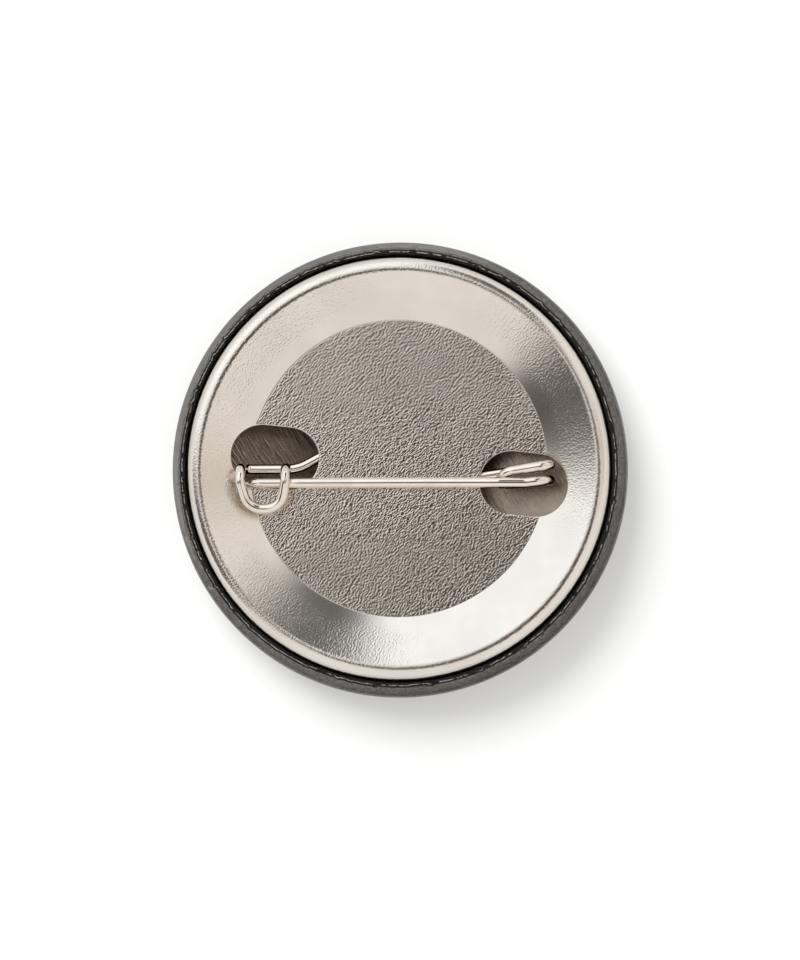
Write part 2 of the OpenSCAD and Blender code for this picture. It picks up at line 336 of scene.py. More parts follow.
class Gathers:
    """The pleats and creases that film and print gather in on their way round the fold"""

    # along the sheet, by the share of the way round the fold
    CREASES = (0.6, 0.683, 0.745)
    CREASE_WIDTH = 0.014
    GATHER_START, GATHER_LENGTH = 0.05, 0.5
    GATHER_END, END_LENGTH = 0.74, 0.13
    UPRIGHT = 0.6  # where a skewed pleat crosses its own middle
    PULL = 0.045  # how far a pleat pulls the print's and the film's marks along

    def __init__(self, sheets):
        dice = random.Random(sheets.pleat_seed)
        self.height = sheets.pleat_height
        self.fine = sheets.crease_height
        count = max(1, sheets.pleats)
        self.pleats = []
        for k in range(count):
            middle = math.tau * (k + dice.uniform(-0.45, 0.45)) / count
            width = math.radians(dice.uniform(0.3, 0.62))
            size = dice.choice((0.3, 0.55, 0.8, 1.0))
            skew = math.radians(dice.uniform(-3, 3))
            shifts = [dice.uniform(-0.014, 0.014) for crease in self.CREASES]
            sizes = [dice.uniform(0.3, 1.0) for crease in self.CREASES]
            self.pleats.append((middle, width, size, skew, shifts, sizes))
        self.pleats.sort()
        self.waves = [
            (dice.randint(9, 60), dice.uniform(0, math.tau), dice.uniform(0.04, 0.13)) for wave in range(9)
        ]

    def push(self, turn):
        """How far the sheet stands out at that turn, and the share kept, by the share of the fold"""
        swell = sum(size * (1 + math.sin(count * turn + phase)) / 2 for count, phase, size in self.waves)
        near = []
        for middle, width, size, skew, *creased in self.pleats:
            away = (turn - middle + math.pi) % math.tau - math.pi
            if abs(away) < 3 * width + abs(skew):
                near.append((away, width, size, skew))
        shifts, sizes = ([pleat for pleat in self.pleats if pleat[0] <= turn] or self.pleats)[-1][4:]
        creases = [(crease + shift, size) for crease, shift, size in zip(self.CREASES, shifts, sizes)]

        def moved(share):
            if share <= self.GATHER_START:
                return 0.0, share
            start = smooth_step((share - self.GATHER_START) / self.GATHER_LENGTH)
            rise = start * (1 - smooth_step((share - self.GATHER_END) / self.END_LENGTH))
            gathered = sum(
                size * bump((away - skew * (share - self.UPRIGHT)) / width)
                for away, width, size, skew in near
            )
            fine = sum(size * bump((share - crease) / self.CREASE_WIDTH) for crease, size in creases)
            mark = share + start * (shifts[0] + self.PULL * gathered)
            return rise * (self.height * (swell + gathered) + self.fine * fine), mark

        return moved


def wrapped_sheet(name, depth, thickness, material):
    """A sheet that covers the face and the wall, folds over the shell's edge and ends in the tuck"""
    sheets = bpy.context.scene.badge_sheets
    rim = Rim(sheets)
    section = rim.face(depth) + rim.face(depth + thickness)[::-1]
    points, faces, shares = revolved(section, Gathers(sheets).push)
    return new_piece(name, points, faces, BADGE, material, shares)


# --- back plate ---

class Slot:
    """One obround hole of the back plate"""

    def __init__(self, plate, side):
        turn = plate.slot_turn
        self.along = Vector((math.cos(turn), math.sin(turn)))
        self.across = Vector((-self.along.y, self.along.x))
        middle = Vector((plate.slot_shift_x, plate.slot_shift_y))
        self.centre = middle + side * plate.slot_spacing / 2 * self.along
        self.half = (plate.slot_length - plate.slot_width) / 2
        self.radius = plate.slot_width / 2

    def distance(self, point):
        """Distance from the slot's edge, below 0 inside it"""
        away = point - self.centre
        past_end = max(0.0, abs(away.dot(self.along)) - self.half)
        return math.hypot(past_end, away.dot(self.across)) - self.radius

    def outline(self, offset, step):
        """Points round the slot, at a distance outside its edge"""
        radius = self.radius + offset
        bend_steps = max(8, round(math.pi * self.radius / step))
        straight_steps = max(1, round(2 * self.half / step))
        points = []
        for side in (1, -1):
            for i in range(bend_steps + 1):
                turn = math.pi * (i / bend_steps - 0.5)
                end = (self.half + radius * math.cos(turn)) * self.along
                points.append(self.centre + side * (end + radius * math.sin(turn) * self.across))
            start = points[-1]
            way = -side * 2 * self.half * self.along
            points += [start + way * i / straight_steps for i in range(1, straight_steps)]
        return points


class PlateForm:
    """The back plate's section, worked out from its sizes and the frame"""

    def __init__(self, plate, rim):
        self.plate = plate
        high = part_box("back_plate")[1]
        slope = math.degrees(plate.slope)
        radius = plate.bead_radius
        reach = radius + rim.fold_radius + plate.bead_gap
        bead_z = high.z - radius
        self.slope = slope
        self.bead = Vector((rim.fold.x - math.sqrt(reach ** 2 - (rim.fold.y - bead_z) ** 2), bead_z))
        self.slope_top = self.bead + polar(radius, 90 + slope)
        self.flat_end = plate.flat_radius - plate.bend_radius * math.tan(plate.slope / 2)
        self.slope_foot = self.flat_end + plate.bend_radius * math.sin(plate.slope)
        bend_rise = plate.bend_radius * (1 - math.cos(plate.slope))
        rise = (self.slope_top.x - self.slope_foot) * math.tan(plate.slope)
        self.flat_z = self.slope_top.y - rise - bend_rise
        self.rim = rim
        self.hug = rim.fold_radius + plate.bead_gap
        self.contact = math.degrees(math.atan2(rim.fold.y - bead_z, rim.fold.x - self.bead.x))

    def top(self, radius):
        """Height of the top face at that radius"""
        return self.flat_z + self.rise(radius, self.plate.bend_radius)

    def under(self, radius):
        """Height of the under face at that radius"""
        thickness = self.plate.thickness
        return self.flat_z - thickness + self.rise(radius, self.plate.bend_radius + thickness)

    def rise(self, radius, bend):
        """Rise above the flat where it bends with that radius into the slope"""
        past = radius - self.flat_end
        reach = bend * math.sin(self.plate.slope)
        if past <= 0:
            return 0.0
        if past < reach:
            return bend - math.sqrt(bend ** 2 - past ** 2)
        return bend * (1 - math.cos(self.plate.slope)) + (past - reach) * math.tan(self.plate.slope)

    def bead_section(self):
        """From the slope's top edge over the bead, down the skirt that hugs the fold, and back inside"""
        plate, rim = self.plate, self.rim
        crest, meeting = 90 + self.slope, self.contact
        hug_start, hug_end = 180 + self.contact, 180 + rim.lean
        skirt_end = rim.fold - self.hug * rim.out - plate.skirt * rim.up
        outer = arc(self.bead, plate.bead_radius, crest, meeting, 44)[1:]
        outer += arc(rim.fold, self.hug, hug_start, hug_end, 8)
        inner = arc(rim.fold, self.hug + plate.thickness, hug_end, hug_start, 8)
        inner += arc(self.bead, plate.bead_radius - plate.thickness, meeting, crest, 24)
        ends = [skirt_end, skirt_end - plate.thickness * rim.out]
        return [point for point, out in outer] + ends + [point for point, out in inner]


# rings round the bend, as shares of its width, and round each slot, as shares of its edge's roll
BEND_RINGS = (-0.4, 0, 0.25, 0.5, 0.75, 1, 1.4)
SLOT_RINGS = (0, 0.08, 0.3, 0.65, 1, 2, 4)
SLOT_CLEAR = 5.5


def net_of(form, slots):
    """The plate's points in plan, its edges that must stay, and each slot's loop"""
    segments = PLATE_SEGMENTS
    foot, reach = form.slope_foot, form.slope_top.x - form.slope_foot
    bend = [form.flat_end + share * (foot - form.flat_end) for share in BEND_RINGS]
    radii = [i * NET_STEP for i in range(1, int(form.flat_end / NET_STEP))] + bend
    slope_steps = int(reach / NET_STEP)
    radii += [foot + reach * i / slope_steps for i in range(1, slope_steps)]
    roll = form.plate.edge_roll
    net = [polar(form.slope_top.x, 360 * k / segments) for k in range(segments)]
    edges = [(k, (k + 1) % segments) for k in range(segments)]
    loops = []
    for slot in slots:
        for share in SLOT_RINGS:
            first = len(net)
            loop = slot.outline(share * roll, SLOT_STEP)
            net += loop
            if share == 0:
                loops.append(range(first, len(net)))
                edges += [(first + i, first + (i + 1) % len(loop)) for i in range(len(loop))]
    for number, radius in enumerate(radii):
        in_bend = bend[0] <= radius <= bend[-1]
        count = segments // 2 if in_bend else max(8, round(math.tau * radius / NET_STEP))
        turned = 0 if in_bend else 0.5 * (number % 2)
        for k in range(count):
            point = polar(radius, 360 * (k + turned) / count)
            if all(slot.distance(point) > SLOT_CLEAR * roll for slot in slots):
                net.append(point)
    net.append(Vector((0, 0)))
    return net, edges, loops


def plate_mesh(form, slots):
    """Points and faces of the back plate: a slotted middle, cut as a net, and a turned bead"""
    segments = PLATE_SEGMENTS
    roll = form.plate.edge_roll
    net, edges, loops = net_of(form, slots)
    cut = delaunay_2d_cdt([point / MM for point in net], edges, [], 0, 1e-6)
    flat = [point * MM for point in cut[0]]
    triangles = [
        face for face in cut[2]
        if all(slot.distance(sum((flat[i] for i in face), Vector((0, 0))) / 3) > 0 for slot in slots)
    ]
    place = {old: new for new, olds in enumerate(cut[3]) for old in olds}
    points = []
    for point in flat:
        away = min(slot.distance(point) for slot in slots)
        short = max(0.0, roll - max(0.0, away))
        drop = roll - math.sqrt(max(0.0, roll ** 2 - short ** 2))
        points.append((point.x, point.y, form.top(point.length) - drop))
    count = len(flat)
    points += [(point.x, point.y, form.under(point.length)) for point in flat]
    faces = [tuple(face) for face in triangles]
    faces += [tuple(count + i for i in reversed(face)) for face in triangles]
    for loop in loops:
        faces += quads([place[i] for i in loop], [count + place[i] for i in loop])
    ring = [place[k] for k in range(segments)]
    for point in form.bead_section():
        first = len(points)
        for k in range(segments):
            points.append((*polar(point.x, 360 * k / segments), point.y))
        faces += quads(ring, range(first, first + segments))
        ring = range(first, first + segments)
    faces += quads(ring, [count + place[k] for k in range(segments)])
    return points, faces


# --- bent wire ---

def bent_line(corners, bends, radius, degrees=4):
    """Rings along a wire through its corners, each rounded with its bend: (middle, direction, radius)"""
    corners = [Vector(corner) for corner in corners]
    first = (corners[1] - corners[0]).normalized()
    rings = [(corners[0], first, radius)]
    for before, corner, after, bend in zip(corners, corners[1:], corners[2:], bends):
        way_in = (corner - before).normalized()
        way_out = (after - corner).normalized()
        turn = way_in.angle(way_out)
        side = (way_out - way_out.dot(way_in) * way_in).normalized()
        start = corner - bend * math.tan(turn / 2) * way_in
        steps = max(1, math.ceil(math.degrees(turn) / degrees))
        for i in range(steps + 1):
            bent = turn * i / steps
            middle = start + bend * (math.sin(bent) * way_in + (1 - math.cos(bent)) * side)
            rings.append((middle, math.cos(bent) * way_in + math.sin(bent) * side, radius))
    rings.append((corners[-1], (corners[-1] - corners[-2]).normalized(), radius))
    return rings


def fine_rings(rings, step):
    """The same rings with more between them, no further apart than step"""
    result = [rings[0]]
    for (start, way, radius), (end, next_way, next_radius) in zip(rings, rings[1:]):
        count = max(1, math.ceil((end - start).length / step))
        for i in range(1, count + 1):
            share = i / count
            turned = way.lerp(next_way, share).normalized()
            result.append((start.lerp(end, share), turned, radius + share * (next_radius - radius)))
    return result


def swept_wire(name, rings, body, material):
    """A wire through its rings, with its length and its turn stored as the UV map"""
    side = Vector((0, 0, 1)) if abs(rings[0][1].z) < 0.9 else Vector((1, 0, 0))
    points = []
    travel = []
    gone = 0.0
    last = rings[0][0]
    for middle, way, radius in rings:
        gone += (middle - last).length
        last = middle
        travel.append(gone)
        side = (side - side.dot(way) * way).normalized()
        across = way.cross(side)
        for k in range(WIRE_SIDES):
            turn = math.tau * k / WIRE_SIDES
            points.append(middle + radius * (math.cos(turn) * side + math.sin(turn) * across))
    ends = [range(i * WIRE_SIDES, (i + 1) * WIRE_SIDES) for i in range(len(rings))]
    faces = [tuple(reversed(ends[0]))]
    marks = [[(0.0, 0.0)] * WIRE_SIDES]
    for i in range(len(rings) - 1):
        faces += quads(ends[i], ends[i + 1])
        near, far = travel[i] / MM, travel[i + 1] / MM
        for k in range(WIRE_SIDES):
            left, right = k / WIRE_SIDES, (k + 1) / WIRE_SIDES
            marks.append([(left, near), (right, near), (right, far), (left, far)])
    faces.append(tuple(ends[-1]))
    marks.append([(0.0, travel[-1] / MM)] * WIRE_SIDES)
    piece = new_piece(name, points, faces, body, material)
    layer = piece.data.uv_layers.new(name="wire_map")
    layer.data.foreach_set("uv", [value for face in marks for corner in face for value in corner])
    piece.data.set_sharp_from_angle(angle=SHARP_EDGE)
    return piece


class WireForm:
    """The wire's middle line, worked out from its sizes and the frame"""

    BASE_MEETING = 4.4 * MM  # where the hook's end of the base meets the coil's end
    COIL_ENTRY = (5.5 * MM, -0.56 * MM)  # where the base bends into the coil
    ROOT_LENGTH = 0.4 * MM  # fixed stretch of the coil's end, beside the hinge
    BENDING_SHARE = 0.4  # how much of the way to the droop belongs to the bending stretch

    def __init__(self, wire):
        arm_low, arm_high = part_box("pin_arm")
        coil_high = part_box("spring_coil")[1]
        hook_low, hook_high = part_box("catch_wire")
        radius = wire.radius
        self.wire = wire
        self.arm_y = (arm_low.y + arm_high.y) / 2
        self.arm_z = arm_high.z - radius
        self.tip_x = arm_low.x
        self.base_z = hook_low.z + radius
        self.coil_x = coil_high.x - radius
        self.back_x = coil_high.x - wire.coil_width + radius
        middle_x = (self.coil_x + self.back_x) / 2
        self.coil_z = self.arm_z - (middle_x - wire.droop_start) * math.tan(wire.droop)
        self.pivot = Vector((middle_x, self.arm_y, self.coil_z))
        self.hook_x = hook_low.x + radius
        self.hook_right_x = self.hook_x + wire.hook_width - 2 * radius
        self.hook_z = hook_high.z - radius
        self.hook_y = hook_low.y + radius
        self.entry = Vector((*self.COIL_ENTRY, self.base_z))
        self.last_turn = Vector((self.coil_x, wire.coil_last, self.coil_z))
        self.root = self.pivot + self.ROOT_LENGTH * (self.last_turn - self.pivot).normalized()
        self.droop = self.on_arm(wire.droop_start)
        self.arm_start = self.pivot.lerp(self.droop, self.BENDING_SHARE)

    def on_arm(self, x):
        """The point of the straight arm at that x"""
        return Vector((x, self.arm_y, self.arm_z))

    def on_base(self, x):
        """The point of the base at that x"""
        y = self.entry.y + (x - self.entry.x) * math.tan(self.wire.base_turn)
        return Vector((x, y, self.base_z))


def hook_rings(form):
    """The base from the middle of the badge, the step, and the hook back down to the base"""
    wire = form.wire
    leg, crown = wire.hook_leg, form.arm_y
    left, right, top, base = form.hook_x, form.hook_right_x, form.hook_z, form.base_z
    end_z = top - wire.hook_dip
    half_end = wire.hook_end_width / 2 - wire.radius
    end_x = (left + right) / 2 + wire.hook_end_shift
    corners = [
        form.on_base(form.BASE_MEETING),
        form.on_base(wire.step_start),
        (wire.step_end, leg, base),
        (left, leg, base),
        (left, leg, top),
        (left, crown, top),
        (end_x - half_end, form.hook_y, end_z),
        (end_x + half_end, form.hook_y, end_z),
        (right, crown, top),
        (right, leg, top),
        (right, leg, base + 2 * wire.radius + wire.slack),
    ]
    over, shoulder, end = 0.9 * (leg - crown), 0.3 * MM, 1.3 * MM
    bends = [1.2 * MM, 3 * MM, 0.6 * MM, over, shoulder, end, end, shoulder, over]
    return fine_rings(bent_line(corners, bends, wire.radius), WIRE_STEP)


def coil_rings(form):
    """The base's other end, one and a half turns, and the start of the arm"""
    wire = form.wire
    right, left, top, base = form.coil_x, form.back_x, form.coil_z, form.base_z
    low = top - wire.coil_height
    small, large = 0.49 * (top - base), 0.49 * wire.coil_height
    cross_y = form.arm_y - 0.03 * MM
    corners = [
        form.on_base(form.BASE_MEETING),
        form.entry,
        (right, wire.coil_front, base),
        (right, wire.coil_front, top),
        (left, wire.coil_back, top - wire.coil_back_drop),
        (left, cross_y, base + 0.4 * MM),
        (left, cross_y, low),
        (right, wire.coil_last, low),
        form.last_turn,
        form.root,
    ]
    bends = [3 * MM, small, small, 0.9 * MM, 0.8 * MM, 0.95 * MM, large, large]
    return fine_rings(bent_line(corners, bends, wire.radius), WIRE_STEP)


def joint_rings(form):
    """The short stretch between the coil and the arm, with its droop bend"""
    corners = [form.root, form.pivot, form.arm_start]
    return fine_rings(bent_line(corners, [DROOP_BEND], form.wire.radius, 1), 0.05 * MM)


def arm_rings(form):
    """The arm from its droop to its ground point"""
    wire = form.wire
    neck_x = form.hook_right_x + 2 * wire.radius
    corners = [form.arm_start, form.droop, form.on_arm(neck_x)]
    rings = bent_line(corners, [DROOP_BEND], wire.radius, 1)
    point_start = form.tip_x + wire.point
    places = [(neck_x - 0.6 * MM, wire.thin_radius), (point_start, wire.thin_radius)]
    for share in (0.15, 0.4, 0.7, 0.88, 0.96, 0.99):
        taper = wire.thin_radius * (1 - share ** 1.6)
        places.append((point_start - share * wire.point, taper))
    places.append((form.tip_x, 0.02 * MM))
    rings += [(form.on_arm(x), Vector((-1, 0, 0)), radius) for x, radius in places]
    return fine_rings(rings, 0.25 * MM)


# --- shader effects ---

PATCH_INPUTS = ("Middle", "Half Width", "Near", "Far", "Softness")


class Nodes:
    """Adds nodes to a tree, left to right, with their values and links"""

    COLUMN = 190

    def __init__(self, tree):
        self.tree = tree
        self.column = 0

    def fill(self, node, values):
        """Sets inputs by name or index; another node's output is linked instead"""
        for key, value in values.items():
            if isinstance(value, NodeSocket):
                self.tree.links.new(value, node.inputs[key])
            else:
                node.inputs[key].default_value = value

    def add(self, kind, values, **settings):
        """One shader node with its settings and its inputs' values"""
        node = self.tree.nodes.new("ShaderNode" + kind)
        node.location = (self.column, 0)
        self.column += self.COLUMN
        for name, value in settings.items():
            setattr(node, name, value)
        self.fill(node, values)
        return node

    def math(self, operation, *values):
        """The result of one Math node"""
        return self.add("Math", dict(enumerate(values)), operation=operation).outputs[0]

    def vector(self, operation, *values):
        """The outputs of one Vector Math node"""
        return self.add("VectorMath", dict(enumerate(values)), operation=operation).outputs

    def ramp(self, value, low, high, start=0.0, end=1.0):
        """A soft ramp from start to end as the value goes from low to high"""
        values = {"Value": value, "From Min": low, "From Max": high, "To Min": start, "To Max": end}
        return self.add("MapRange", values, interpolation_type="SMOOTHSTEP").outputs[0]

    def noise(self, vector, scale, detail, roughness):
        """The value of a Noise Texture"""
        values = {"Vector": vector, "Scale": scale, "Detail": detail, "Roughness": roughness}
        return self.add("TexNoise", values).outputs[0]

    def mix(self, share, first, second):
        """A colour between two others"""
        values = {0: share, 6: first, 7: second}
        return self.add("Mix", values, data_type="RGBA").outputs[2]

    def axes(self, vector):
        """The three axes of a vector"""
        return self.add("SeparateXYZ", {0: vector}).outputs

    def bump(self, strength, distance, height):
        """A normal that follows a height"""
        values = {"Strength": strength, "Distance": distance, "Height": height}
        return self.add("Bump", values).outputs[0]

    def group(self, build, values):
        """The outputs of a shared effect, whose group is built when it is first placed"""
        group = bpy.data.node_groups.get(build.__name__) or build()
        return self.add("Group", values, node_tree=group).outputs

    def effect(self, build, place, **values):
        """The outputs of a shared effect over a piece's own coordinates"""
        return self.group(build, {"Vector": place["Object"], **values})


def new_group(name, vectors, numbers, outputs):
    """A node group with vectors, numbers with their defaults, and numbers to put out.

    It comes with its Nodes, its inputs' sockets and its output node.
    """
    group = bpy.data.node_groups.new(name, "ShaderNodeTree")
    for socket in vectors:
        group.interface.new_socket(socket, in_out="INPUT", socket_type="NodeSocketVector")
    for socket, default in numbers.items():
        made = group.interface.new_socket(socket, in_out="INPUT", socket_type="NodeSocketFloat")
        made.default_value = default
    for socket in outputs:
        group.interface.new_socket(socket, in_out="OUTPUT", socket_type="NodeSocketFloat")
    nodes = Nodes(group)
    take = group.nodes.new("NodeGroupInput").outputs
    result = group.nodes.new("NodeGroupOutput")
    result.location = (OUTPUT_COLUMN, 0)
    return group, nodes, take, result


def strokes():
    """Short raised strokes that all run one way, as on grained or brushed tin"""
    inputs = {"Scale": 1000, "Turn": 0, "Stretch": 2.5, "Sharpness": 0.5, "Detail": 1, "Fine": 0}
    group, nodes, take, result = new_group("strokes", ["Vector"], inputs, ["Height", "Glint"])
    values = {"Vector": take["Vector"], "Angle": take["Turn"]}
    turned = nodes.add("VectorRotate", values, rotation_type="Z_AXIS").outputs[0]
    x, y, z = nodes.axes(turned)
    squeezed = nodes.math("DIVIDE", x, take["Stretch"])
    vector = nodes.add("CombineXYZ", {0: squeezed, 1: y, 2: z}).outputs[0]
    coarse = nodes.noise(vector, take["Scale"], take["Detail"], take["Sharpness"])
    fine = nodes.noise(vector, nodes.math("MULTIPLY", take["Scale"], 2.7), 1.0, 0.5)
    height = nodes.math("MULTIPLY_ADD", fine, take["Fine"], coarse)
    nodes.fill(result, {"Height": height, "Glint": nodes.ramp(coarse, 0.56, 0.7)})
    return group


def handling():
    """Cloudy marks of handling, from 0 to 1"""
    group, nodes, take, result = new_group("handling", ["Vector"], {"Scale": 120}, ["Cloud"])
    cloud = nodes.noise(take["Vector"], take["Scale"], 3.0, 0.6)
    nodes.fill(result, {"Cloud": nodes.ramp(cloud, 0.35, 0.68)})
    return group


def sky_patch():
    """1 inside a patch of the sky and 0 outside it, by its turn round the zenith and its angle from it"""
    inputs = dict.fromkeys(("Turn", "From Zenith", *PATCH_INPUTS), 0.5)
    group, nodes, take, result = new_group("sky_patch", [], inputs, ["Mask"])
    turn = nodes.math("SUBTRACT", take["Turn"], take["Middle"])
    turn = nodes.math("ABSOLUTE", nodes.math("WRAP", turn, math.pi, -math.pi))
    across = nodes.math("SUBTRACT", take["Half Width"], turn)
    past_near = nodes.math("SUBTRACT", take["From Zenith"], take["Near"])
    before_far = nodes.math("SUBTRACT", take["Far"], take["From Zenith"])
    mask = 1.0
    for inside in (across, past_near, before_far):
        share = nodes.math("DIVIDE", inside, take["Softness"])
        mask = nodes.math("MULTIPLY", nodes.ramp(share, -1.0, 1.0), mask)
    nodes.fill(result, {"Mask": mask})
    return group


def new_material(name):
    """An empty material with its Nodes, its Principled shader and the object's own coordinates"""
    material = bpy.data.materials.new(name)
    material.use_nodes = True
    tree = material.node_tree
    tree.nodes.clear()
    nodes = Nodes(tree)
    place = nodes.add("TexCoord", {}).outputs
    shader = tree.nodes.new("ShaderNodeBsdfPrincipled")
    shader.location = (OUTPUT_COLUMN, 0)
    output = tree.nodes.new("ShaderNodeOutputMaterial")
    output.location = (OUTPUT_COLUMN + 2 * Nodes.COLUMN, 0)
    tree.links.new(shader.outputs[0], output.inputs[0])
    return material, nodes, shader, place


def tint(base, factor):
    """A colour brighter or darker than another, with its alpha"""
    return (*[min(1.0, channel * factor) for channel in base], 1.0)


# --- finishes ---

def tin_finish():
    """Bright tinplate with a fine diagonal grain, which is stretched smooth past the flat middle, and
    painted shade that makes the flat middle darker
    """
    plate = bpy.context.scene.badge_plate
    edge = plate.flat_radius
    material, nodes, shader, place = new_material("grained_tin")
    run = math.radians(-42)
    grain = nodes.effect(strokes, place, Scale=9300, Turn=run, Stretch=1.35, Sharpness=0.4, Detail=0.5)
    cloud = nodes.effect(handling, place, Scale=160)[0]
    flat = nodes.vector("MULTIPLY", place["Object"], (1, 1, 0))[0]
    radius = nodes.vector("LENGTH", flat)["Value"]
    sloped = nodes.ramp(radius, edge - 0.08 * MM, edge + 0.02 * MM)
    # painted shade: the flat middle gets a darker copy of the tin than the slope ring, deepening its
    # reflection of the dark camera overhead
    middle = nodes.mix(cloud, tint(plate.tin, 0.92), tint(plate.tin, 0.85))
    ring = nodes.mix(cloud, tint(plate.tin, 1.0), tint(plate.tin, 0.93))
    rough = nodes.math("MULTIPLY_ADD", sloped, 0.1, nodes.ramp(cloud, 0, 1, 0.07, 0.1))
    spread = nodes.ramp(radius, edge + 0.35 * MM, edge + 1.5 * MM, 0.08, 0.5)
    kept = nodes.ramp(sloped, 0, 1, 1.0, 0.08)
    kept = nodes.math("MAXIMUM", kept, nodes.math("MULTIPLY", sloped, spread))
    height = nodes.math("MULTIPLY", grain["Height"], kept)
    values = {
        "Metallic": 1.0,
        "Base Color": nodes.mix(sloped, middle, ring),
        "Roughness": rough,
        "Normal": nodes.bump(1.0, 0.022 * MM, height),
    }
    nodes.fill(shader, values)
    return material


def shell_finish():
    """Dull tinplate inside the shell, with fine diagonal scratches, and painted light that makes it
    brighter towards +X
    """
    material, nodes, shader, place = new_material("brushed_shell")
    run = math.radians(58)
    scratch = nodes.effect(strokes, place, Scale=7000, Turn=run, Stretch=11, Fine=0.2)
    cloud = nodes.effect(handling, place, Scale=220)[0]
    # painted light: dull and bright are shaded and lit copies of the same tin, brighter towards +X where
    # the coil's slot is
    painted_light_side = nodes.ramp(nodes.axes(place["Object"])[0], -2 * MM, 4 * MM)
    dull = nodes.mix(cloud, (0.28, 0.23, 0.188, 1), (0.36, 0.3, 0.247, 1))
    bright = nodes.mix(cloud, (0.37, 0.312, 0.262, 1), (0.48, 0.41, 0.345, 1))
    values = {
        "Metallic": 1.0,
        "Base Color": nodes.mix(painted_light_side, dull, bright),
        "Roughness": nodes.ramp(scratch["Glint"], 0, 1, 0.27, 0.2),
        "Normal": nodes.bump(0.8, 0.03 * MM, scratch["Height"]),
    }
    nodes.fill(shader, values)
    return material


def wire_finish():
    """Plated spring wire with faint drawing lines"""
    base = bpy.context.scene.badge_wire.plating
    material, nodes, shader, place = new_material("plated_wire")
    drawn = nodes.add("Mapping", {"Vector": place["UV"], "Scale": (34, 0.5, 1)}).outputs[0]
    cloud = nodes.effect(handling, place, Scale=420)[0]
    values = {
        "Metallic": 1.0,
        "Base Color": nodes.mix(cloud, tint(base, 1.0), tint(base, 0.9)),
        "Roughness": nodes.ramp(cloud, 0, 1, 0.05, 0.11),
        "Normal": nodes.bump(0.25, 0.004 * MM, nodes.noise(drawn, 1.0, 2.0, 0.6)),
    }
    nodes.fill(shader, values)
    return material


def print_finish():
    """Plain dark print on coated paper, with painted light that makes it paler on the wall"""
    base = bpy.context.scene.badge_sheets.ink
    material, nodes, shader, place = new_material("plain_print")
    cloud = nodes.effect(handling, place, Scale=300)[0]
    share = nodes.add("Attribute", {}, attribute_name=SHARE).outputs["Fac"]
    # painted light: the print is made three times paler on the wall, standing in for the floor that the
    # film mirrors there
    wall = nodes.math("MULTIPLY", nodes.ramp(share, 0.02, 0.1), nodes.ramp(share, 0.6, 0.62, 1.0, 0.0))
    face = nodes.mix(cloud, tint(base, 0.9), tint(base, 1.2))
    fibre = nodes.noise(place["Object"], 5200.0, 2.0, 0.6)
    values = {
        "Base Color": nodes.mix(wall, face, tint(base, 3.0)),
        "Roughness": nodes.ramp(cloud, 0, 1, 0.3, 0.4),
        "Normal": nodes.bump(0.3, 0.01 * MM, fibre),
        "Specular IOR Level": 0.05,
    }
    nodes.fill(shader, values)
    return material


def film_finish():
    """Clear film: it mirrors at a glancing look and lets the print through otherwise"""
    material, nodes, shader, place = new_material("clear_film")
    cloud = nodes.effect(handling, place, Scale=900)[0]
    share = nodes.add("Attribute", {}, attribute_name=SHARE).outputs["Fac"]
    flat = nodes.vector("MULTIPLY", place["Object"], (1, 1, 0))[0]
    way = nodes.vector("NORMALIZE", flat)[0]
    wide = nodes.vector("MULTIPLY", way, (80, 80, 80))[0]
    height = nodes.add("CombineXYZ", {2: nodes.math("MULTIPLY", share, 9.0)}).outputs[0]
    around = nodes.vector("ADD", wide, height)[0]
    facing = nodes.add("LayerWeight", {"Blend": 0.5}).outputs["Facing"]
    limb = nodes.ramp(facing, 0.66, 0.73)
    most = nodes.ramp(nodes.axes(place["Normal"])[2], -0.4, -0.1, 1.0, 0.14)
    fresnel = nodes.add("Fresnel", {"IOR": 1.5}).outputs[0]
    mirror = nodes.math("MINIMUM", fresnel, most)
    wavy = nodes.math("MULTIPLY_ADD", nodes.noise(around, 0.35, 1.0, 0.5), 0.03, share)
    bent = nodes.ramp(wavy, 0.45, 0.6, 0.012, 0.085)
    shown = nodes.math("MULTIPLY_ADD", mirror, 0.86, bent)
    past = nodes.ramp(wavy, 0.615, 0.635, 1.0, 0.07)
    from_ridge = nodes.math("ABSOLUTE", nodes.math("SUBTRACT", wavy, 0.7))
    kept = nodes.ramp(nodes.noise(around, 0.3, 1.0, 0.5), 0.4, 0.46)
    ridge = nodes.math("MULTIPLY", nodes.ramp(from_ridge, 0.003, 0.018, 1.0, 0.0), kept)
    rough = nodes.math("MULTIPLY_ADD", ridge, 0.5, nodes.ramp(cloud, 0, 1, 0.1, 0.2))
    streaks = nodes.ramp(nodes.noise(around, 1.0, 3.0, 0.6), 0.38, 0.62, 0.5, 1.5)
    worn = nodes.math("MULTIPLY", streaks, nodes.ramp(cloud, 0, 1, 0.9, 1.12))
    glints = nodes.math("MULTIPLY", ridge, 0.45)
    shown = nodes.math("MULTIPLY", nodes.math("MULTIPLY_ADD", shown, past, glints), worn)
    shown = nodes.math("MAXIMUM", shown, limb)
    behind = nodes.add("NewGeometry", {}).outputs["Backfacing"]
    front = nodes.math("SUBTRACT", 1.0, behind)
    values = {
        "Metallic": 1.0,
        "Base Color": nodes.mix(limb, (0.98, 0.945, 0.91, 1), (0.12, 0.11, 0.102, 1)),
        "Roughness": rough,
        "Alpha": nodes.math("MULTIPLY", shown, front),
    }
    nodes.fill(shader, values)
    return material


# --- pieces ---

